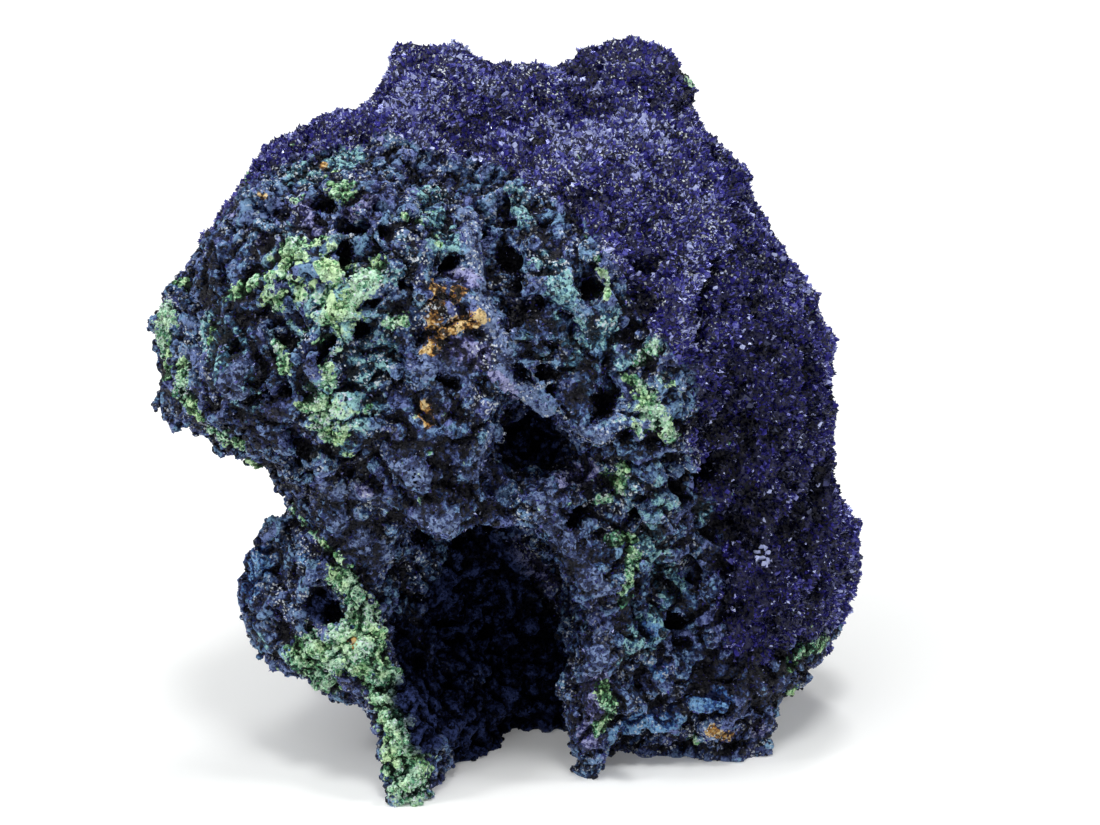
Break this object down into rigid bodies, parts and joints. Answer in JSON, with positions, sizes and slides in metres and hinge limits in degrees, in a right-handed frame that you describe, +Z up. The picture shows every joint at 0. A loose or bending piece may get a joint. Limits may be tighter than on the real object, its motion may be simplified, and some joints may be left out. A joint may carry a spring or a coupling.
{
  "type": "azurite specimen",
  "caption": "Fist-sized azurite specimen: glittering indigo crystal crust over a knobbly blue and green malachite front, arched over a deep hollow on the crust's broken edges.",
  "frame": {"origin": "middle of the specimen's outline seen from above, on the level of the feet it rests on", "axes": "+Z up from the feet to the crest; -Y towards the front, the broken side with the hollow that the picture shows; +X towards the specimen's steep crystal-covered wall, on the right seen from the front"},
  "size_m": [0.0726, 0.05, 0.0698],
  "materials": {
    "azurite_crust": "rough crystalline crust, deep indigo blue, with dusty blue-grey and light green malachite areas at the front"
  },
  "bodies": {
    "root": {"azurite_specimen": "azurite_crust"}
  },
  "joints": []
}
